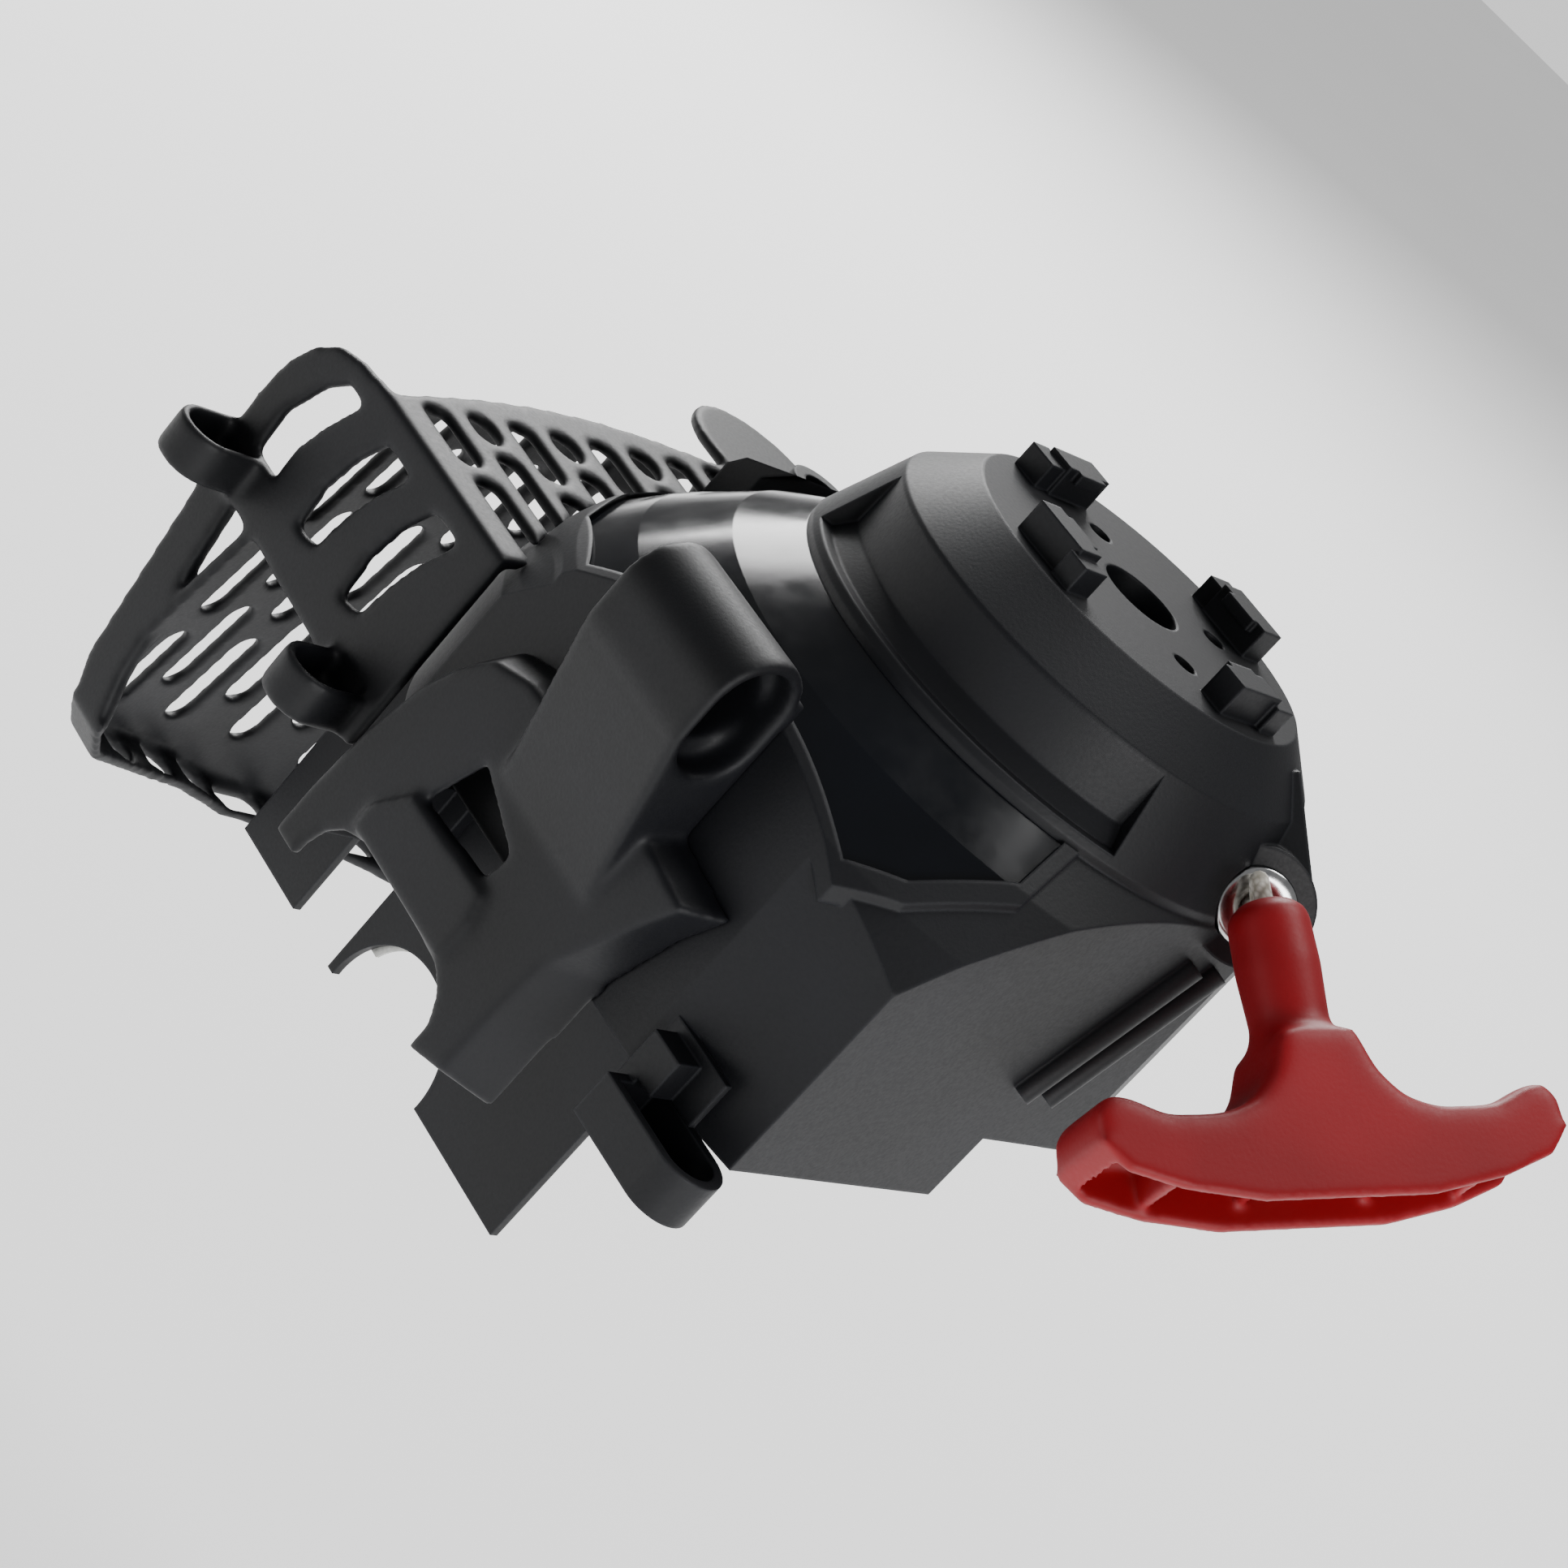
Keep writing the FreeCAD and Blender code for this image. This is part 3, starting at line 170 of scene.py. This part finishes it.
def add(tree, kind, settings=None, links=None):
    """A new node, with its settings made and its inputs linked."""
    made = tree.nodes.new(kind)
    for name, value in (settings or {}).items():
        if name in made.bl_rna.properties:
            setattr(made, name, value)
        else:
            made.inputs[name].default_value = value
    for name, source in (links or {}).items():
        tree.links.new(source, made.inputs[name])
    return made


def blank_finish(name):
    """An empty material, and its node tree."""
    finish = bpy.data.materials.new(name)
    finish.use_nodes = True
    tree = finish.node_tree
    tree.nodes.clear()
    return finish, tree


# %% [markdown]
# Moulded plastic takes its skin from the tool. Spark erosion leaves a fine even grain of about half a
# millimetre, drawn here a little coarser so that it shows. The grain breaks up the gloss, slow clouds of
# a few centimetres shift the tone where the melt flowed, and every edge has the small radius that a tool
# cutter leaves: the Bevel node bends the light round it. Every edge is also painted paler, a painted
# highlight along the rims.

# %% Moulded plastics
CLOUD_SIZE = 38


def moulded(name, deep, pale, edge_highlight_colour, grain, depth, gloss, edge=0.8):
    """Moulded plastic with a tool grain, flow clouds and a painted highlight on every edge; lengths in
    millimetres.
    """
    finish, tree = blank_finish(name)
    place = add(tree, "ShaderNodeTexCoord").outputs["Object"]
    skin = add(tree, "ShaderNodeTexNoise", {"Scale": 1 / (grain * MM), "Detail": 4.0}, {"Vector": place})
    flow = add(tree, "ShaderNodeTexNoise", {"Scale": 1 / (CLOUD_SIZE * MM), "Detail": 2.0}, {"Vector": place})
    tone = add(tree, "ShaderNodeValToRGB", None, {"Fac": flow.outputs["Fac"]})
    tone.color_ramp.elements[0].position = 0.35
    tone.color_ramp.elements[0].color = paint(deep)
    tone.color_ramp.elements[1].position = 0.72
    tone.color_ramp.elements[1].color = paint(pale)
    radius = add(tree, "ShaderNodeBevel", {"samples": 4, "Radius": edge * MM})
    true_normal = add(tree, "ShaderNodeNewGeometry").outputs["Normal"]
    turn = add(tree, "ShaderNodeVectorMath", {"operation": "DOT_PRODUCT"})
    tree.links.new(radius.outputs["Normal"], turn.inputs[0])
    tree.links.new(true_normal, turn.inputs[1])
    # At every edge, where the bevelled normal leaves the true one, the colour is painted paler: a painted
    # highlight.
    painted_edge_highlight = add(tree, "ShaderNodeMapRange", {"From Min": 0.985, "From Max": 0.8, "To Min": 0.0, "To Max": 0.55},
              {"Value": turn.outputs["Value"]})
    colour = add(tree, "ShaderNodeMixRGB", {"Color2": paint(edge_highlight_colour)},
                 {"Fac": painted_edge_highlight.outputs["Result"], "Color1": tone.outputs["Color"]})
    shine = add(tree, "ShaderNodeMapRange", {"To Min": gloss - 0.07, "To Max": gloss + 0.1},
                {"Value": skin.outputs["Fac"]})
    relief = add(tree, "ShaderNodeBump", {"Strength": 0.6, "Distance": depth * MM},
                 {"Height": skin.outputs["Fac"], "Normal": radius.outputs["Normal"]})
    body = add(tree, "ShaderNodeBsdfPrincipled", {"IOR": 1.45, "Specular IOR Level": 0.4},
               {"Base Color": colour.outputs["Color"], "Roughness": shine.outputs["Result"],
                "Normal": relief.outputs["Normal"]})
    add(tree, "ShaderNodeOutputMaterial", None, {"Surface": body.outputs["BSDF"]})
    return finish


# The third colour of each plastic is its painted edge highlight.
black_nylon = moulded("glass-filled nylon, spark-textured", "#0c0d10", "#121318", "#2c2e34", 0.7, 0.05, 0.5)
gloss_black = moulded("polished black ABS", "#07090d", "#0b0e14", "#14171d", 6.0, 0.004, 0.14, 0.3)
red_nylon = moulded("red nylon, satin moulded", "#860a13", "#9a0f1a", "#a9303a", 0.8, 0.04, 0.46, 1.0)
acetal = moulded("natural acetal, turned mould", "#cfcac0", "#dedad1", "#eeebe4", 0.9, 0.01, 0.36, 0.4)
print("four moulded plastics")

# %% [markdown]
# The metal pieces are pressed, turned, wound or sintered, then plated or oiled. A noise pulled long in one
# direction gives the drawn streaks of sheet and wire, an even one the pores of sintered steel. Colour comes
# from the metal itself, so metallic is one and the IOR keeps its default.

# %% Metals
def metal(name, deep, pale, gloss, grain, pull, depth):
    """Bare or plated metal with streaks or pores; grain and depth in millimetres, pull stretches along X."""
    finish, tree = blank_finish(name)
    place = add(tree, "ShaderNodeTexCoord").outputs["Object"]
    drawn = add(tree, "ShaderNodeMapping", {"Scale": (1 / pull, 1.0, 1.0)}, {"Vector": place})
    skin = add(tree, "ShaderNodeTexNoise", {"Scale": 1 / (grain * MM), "Detail": 5.0},
               {"Vector": drawn.outputs["Vector"]})
    tone = add(tree, "ShaderNodeValToRGB", None, {"Fac": skin.outputs["Fac"]})
    tone.color_ramp.elements[0].position = 0.3
    tone.color_ramp.elements[0].color = paint(deep)
    tone.color_ramp.elements[1].position = 0.7
    tone.color_ramp.elements[1].color = paint(pale)
    shine = add(tree, "ShaderNodeMapRange", {"To Min": gloss - 0.05, "To Max": gloss + 0.15},
                {"Value": skin.outputs["Fac"]})
    radius = add(tree, "ShaderNodeBevel", {"samples": 4, "Radius": 0.25 * MM})
    relief = add(tree, "ShaderNodeBump", {"Strength": 0.5, "Distance": depth * MM},
                 {"Height": skin.outputs["Fac"], "Normal": radius.outputs["Normal"]})
    body = add(tree, "ShaderNodeBsdfPrincipled", {"Metallic": 1.0},
               {"Base Color": tone.outputs["Color"], "Roughness": shine.outputs["Result"],
                "Normal": relief.outputs["Normal"]})
    add(tree, "ShaderNodeOutputMaterial", None, {"Surface": body.outputs["BSDF"]})
    return finish


nickel = metal("bright nickel plate on steel", "#c9cacc", "#e6e6e6", 0.12, 2.0, 1.0, 0.002)
zinc = metal("zinc-plated steel, pressed", "#a2a6a8", "#c3c7c9", 0.32, 1.2, 3.0, 0.01)
spring_steel = metal("oiled spring steel strip, rolled", "#4a4f5a", "#6b7079", 0.3, 0.6, 8.0, 0.01)
aluminium = metal("mill-finish aluminium sheet, rolled", "#b4b5b2", "#cfcfcb", 0.38, 0.8, 12.0, 0.01)
sintered = metal("sintered steel, pressed powder", "#4b4b4c", "#6a6968", 0.5, 0.5, 1.0, 0.03)
print("five metals")

# %% [markdown]
# Starter cord is braided nylon: fine strands cross in small diamonds about a millimetre long. Cells of that
# size, raised in the middle, give the braid's bumps, and their edges are painted darker: painted shade in
# the creases between the bumps.

# %% Braided cord
STRAND_SIZE = 1.1
BRAID_RELIEF = 0.25
braid, tree = blank_finish("white nylon cord, braided")
place = add(tree, "ShaderNodeTexCoord").outputs["Object"]
strands = add(tree, "ShaderNodeTexVoronoi", {"Scale": 1 / (STRAND_SIZE * MM)}, {"Vector": place})
# The cells' edges take the darker colour, a painted shade in the braid's creases.
tone = add(tree, "ShaderNodeValToRGB", None, {"Fac": strands.outputs["Distance"]})
tone.color_ramp.elements[0].position = 0.2
tone.color_ramp.elements[0].color = paint("#e9e6dc")
tone.color_ramp.elements[1].position = 0.75
tone.color_ramp.elements[1].color = paint("#a8a294")
relief = add(tree, "ShaderNodeBump", {"Strength": 0.8, "Distance": BRAID_RELIEF * MM, "invert": True},
             {"Height": strands.outputs["Distance"]})
body = add(tree, "ShaderNodeBsdfPrincipled", {"Roughness": 0.75, "Sheen Weight": 0.3},
           {"Base Color": tone.outputs["Color"], "Normal": relief.outputs["Normal"]})
add(tree, "ShaderNodeOutputMaterial", None, {"Surface": body.outputs["BSDF"]})
print("braided cord")

# %% [markdown]
# The floor is a pale lit table: near white with slow, faint clouds, and a little light of its own, which
# also lifts the undersides.

# %% Floor paint
floor_paint, tree = blank_finish("pale matt studio floor")
place = add(tree, "ShaderNodeTexCoord").outputs["Object"]
clouds = add(tree, "ShaderNodeTexNoise", {"Scale": 3.0}, {"Vector": place})
tone = add(tree, "ShaderNodeValToRGB", None, {"Fac": clouds.outputs["Fac"]})
tone.color_ramp.elements[0].color = paint("#f6f6f6")
tone.color_ramp.elements[1].color = paint("#fbfbfb")
body = add(tree, "ShaderNodeBsdfPrincipled", {"Roughness": 0.9, "Emission Strength": 0.45},
           {"Base Color": tone.outputs["Color"], "Emission Color": tone.outputs["Color"]})
add(tree, "ShaderNodeOutputMaterial", None, {"Surface": body.outputs["BSDF"]})
floor.data.materials.append(floor_paint)

# %% [markdown]
# Each material slot of the record has one finish, and every CAD node gets the finish of its slot.

# %% Finishes on the CAD nodes
FINISHES = {"black_nylon": black_nylon, "gloss_black": gloss_black, "red_nylon": red_nylon,
            "white_acetal": acetal, "bright_steel": nickel, "zinc_steel": zinc, "spring_steel": spring_steel,
            "aluminium_sheet": aluminium, "sintered_steel": sintered, "starter_cord": braid}
for entry in frame["record"]["subparts"]:
    owner = nodes[entry["node"]]
    if not owner.material_slots:
        owner.data.materials.append(None)
    for holder in owner.material_slots:
        holder.material = FINISHES[entry["material_slot"]]


# %% [markdown]
# The grille, the shroud and the handle are mouldings whose edges are all rounded over. CAD gives them
# crisp ones, so each gets a softened copy: its triangles are joined, a voxel remesh rebuilds it in small
# even squares, and passes of smoothing pull every edge into a radius of about a millimetre. The grid is
# finer than half the thinnest wall, so ribs and slots survive. Where a piece flows more freely, as the
# handle does from stem to bar, the points of that stretch get many more passes.

# %% Softened mouldings
def softened(name, node, voxel, passes, slot, flowing=None):
    """A round-edged stand-in for a CAD node; voxel in millimetres, flowing picks its free part."""
    copy = bpy.data.objects.new(name, nodes[node].data.copy())
    bpy.context.scene.collection.objects.link(copy)
    shape = bmesh.new()
    shape.from_mesh(copy.data)
    bmesh.ops.remove_doubles(shape, verts=shape.verts, dist=0.002 * MM)
    shape.to_mesh(copy.data)
    shape.free()
    remesh = copy.modifiers.new("remesh", "REMESH")
    remesh.mode = "VOXEL"
    remesh.voxel_size = voxel * MM
    graph = bpy.context.evaluated_depsgraph_get()
    rebuilt = bpy.data.meshes.new_from_object(copy.evaluated_get(graph))
    copy.modifiers.clear()
    copy.data = rebuilt
    shape = bmesh.new()
    shape.from_mesh(rebuilt)
    free = [vertex for vertex in shape.verts if flowing and flowing(vertex.co)]
    for group, times in ((free, 10 * passes), (shape.verts, passes)):
        for _ in range(times if group else 0):
            bmesh.ops.smooth_vert(shape, verts=group, factor=0.5, use_axis_x=True, use_axis_y=True,
                                  use_axis_z=True)
    for face in shape.faces:
        face.smooth = True
    shape.to_mesh(rebuilt)
    shape.free()
    rebuilt.materials.clear()
    rebuilt.materials.append(FINISHES[slot])
    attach(copy, nodes[node]["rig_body"])
    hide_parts(node)
    print(name, len(rebuilt.polygons) * 2, "triangles")
    return copy


DOWN = Vector((-0.06532, -0.90163, -0.42755)).normalized()
STEM_TOP = Vector((-0.4, -58.25, 143.26))
FLARE_START = 25
FLARE_END = 46


def in_flare(spot):
    """Whether a point of the handle lies where the stem spreads into the bar's crown."""
    below = (spot - STEM_TOP * MM).dot(DOWN) / MM
    return FLARE_START < below < FLARE_END


softened("soft_guard", "cylinder_guard", 0.74, 7, "black_nylon")
softened("soft_shroud", "flank_shroud", 0.7, 8, "black_nylon")
softened("soft_handle", "pull_handle", 0.55, 7, "red_nylon", in_flare)

# %% [markdown]
# The eyelet that the rope runs through is one turned and rolled piece of plated steel: a sleeve pressed
# into the guide, with a lip rolled over its mouth. Half its section is drawn once and spun about the
# guide's axis.

# %% Rope eyelet
MOUTH = Vector((8.0, -55.0, 138.0)) * MM
OUTWARD = Vector((-0.68, -0.68, 0.27)).normalized()
SECTION = [(2.7, -5), (2.7, -0.6), (3.0, 0.5), (3.7, 1.15), (4.8, 1.4), (6.4, 1.4), (7.3, 1.15), (7.6, 0.6),
           (7.4, 0.15), (6.9, 0.02), (6.2, 0), (6.2, -5)]


def keep(name, shape, finish, smooth=True):
    """Turns a bmesh into an object with its finish, normals outwards."""
    bmesh.ops.remove_doubles(shape, verts=shape.verts, dist=0.001 * MM)
    bmesh.ops.recalc_face_normals(shape, faces=shape.faces)
    for face in shape.faces:
        face.smooth = smooth
    mesh = bpy.data.meshes.new(name)
    shape.to_mesh(mesh)
    shape.free()
    mesh.materials.append(finish)
    made = bpy.data.objects.new(name, mesh)
    bpy.context.scene.collection.objects.link(made)
    print(name, len(mesh.polygons), "faces")
    return made


shape = bmesh.new()
sideways = OUTWARD.orthogonal().normalized()
corners = [shape.verts.new(MOUTH + sideways * radius * MM + OUTWARD * height * MM)
           for radius, height in SECTION]
outline = [shape.edges.new((corner, corners[(index + 1) % len(corners)]))
           for index, corner in enumerate(corners)]
bmesh.ops.spin(shape, geom=corners + outline, cent=MOUTH, axis=OUTWARD, angle=2 * math.pi, steps=72,
               use_merge=True)
eyelet = keep("rolled_eyelet", shape, nickel)
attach(eyelet, "housing")
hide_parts("rope_ferrule")

# %% [markdown]
# The rope wound on the reel lies in two layers of two turns. A circle the size of the cord is spun about
# the crank axis for each turn.

# %% Wound turns
CORD_RADIUS = 1.7
LAYER_RADII = (24.3, 27.7)
TURN_HEIGHTS = (135.7, 140.3)

shape = bmesh.new()
for radius in LAYER_RADII:
    for height in TURN_HEIGHTS:
        stand = Matrix.Translation(Vector((radius, 0, height)) * MM) @ Matrix.Rotation(math.pi / 2, 4, "X")
        ring = bmesh.ops.create_circle(shape, segments=14, radius=CORD_RADIUS * MM,
                                      matrix=stand)["verts"]
        loop = list({edge for vertex in ring for edge in vertex.link_edges})
        bmesh.ops.spin(shape, geom=ring + loop, cent=(0, 0, 0), axis=(0, 0, 1), angle=2 * math.pi, steps=80,
                       use_merge=True)
turns = keep("wound_turns", shape, braid)
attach(turns, "reel")
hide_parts("rope_coil")

# %% [markdown]
# The rope runs from the reel to the eyelet, turns down into the handle, and ends in a knot. Each stretch
# is a smooth NURBS line given the cord's thickness. The stretch at the eyelet is fixed in the part's
# frame and joined to no body; the stretch inside the handle and the knot belong to the pull cord's body.

# %% Rope
def cord(name, points, radius, closed=False, steps=10):
    """A round cord along a smooth line; points in millimetres."""
    line = bpy.data.curves.new(name, "CURVE")
    line.dimensions = "3D"
    spline = line.splines.new("NURBS")
    spline.points.add(len(points) - 1)
    for point, spot in zip(spline.points, points):
        point.co = (*(Vector(spot) * MM), 1)
    spline.order_u = 3
    spline.use_endpoint_u = not closed
    spline.use_cyclic_u = closed
    line.resolution_u = steps
    line.bevel_depth = radius * MM
    line.bevel_resolution = 4
    line.use_fill_caps = not closed
    drawn = bpy.data.objects.new(name + "_line", line)
    bpy.context.scene.collection.objects.link(drawn)
    graph = bpy.context.evaluated_depsgraph_get()
    mesh = bpy.data.meshes.new_from_object(drawn.evaluated_get(graph))
    bpy.data.objects.remove(drawn)
    mesh.materials.clear()
    shape = bmesh.new()
    shape.from_mesh(mesh)
    return keep(name, shape, braid)


mouth_mm = MOUTH / MM
ROUTE = [mouth_mm + OUTWARD * 0.5, mouth_mm + OUTWARD * 4, STEM_TOP - DOWN * 3.5, STEM_TOP - DOWN,
         STEM_TOP + DOWN * 3]
bridge = cord("rope_at_eyelet", ROUTE, CORD_RADIUS)
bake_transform(bridge)
inside = cord("rope_in_handle", [STEM_TOP + DOWN * 3, STEM_TOP + DOWN * 20, STEM_TOP + DOWN * 42],
              CORD_RADIUS)
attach(inside, "pull_cord")
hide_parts("rope_end")

# %% [markdown]
# The stopper is a plain overhand knot pulled tight. Its middle line is the trefoil, the curve of every
# overhand knot whose ends are joined, kept small enough to fill the socket under the handle.

# %% Stopper knot
KNOT_DEPTH = 46.2
KNOT_SPREAD = 0.86
KNOT_LIFT = 1.15
KNOT_CORD_RADIUS = 1.35
KNOT_POINTS = 24

seat = STEM_TOP + DOWN * KNOT_DEPTH
across = DOWN.orthogonal().normalized()
depth = DOWN.cross(across)
laps = []
for step in range(KNOT_POINTS):
    angle = 2 * math.pi * step / KNOT_POINTS
    sway = math.sin(angle) + 2 * math.sin(2 * angle)
    reach = math.cos(angle) - 2 * math.cos(2 * angle)
    lift = -KNOT_LIFT * math.sin(3 * angle)
    laps.append(seat + across * sway * KNOT_SPREAD + depth * reach * KNOT_SPREAD + DOWN * lift)
knot = cord("overhand_knot", laps, KNOT_CORD_RADIUS, closed=True, steps=5)
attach(knot, "pull_cord")
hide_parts("handle_knot")
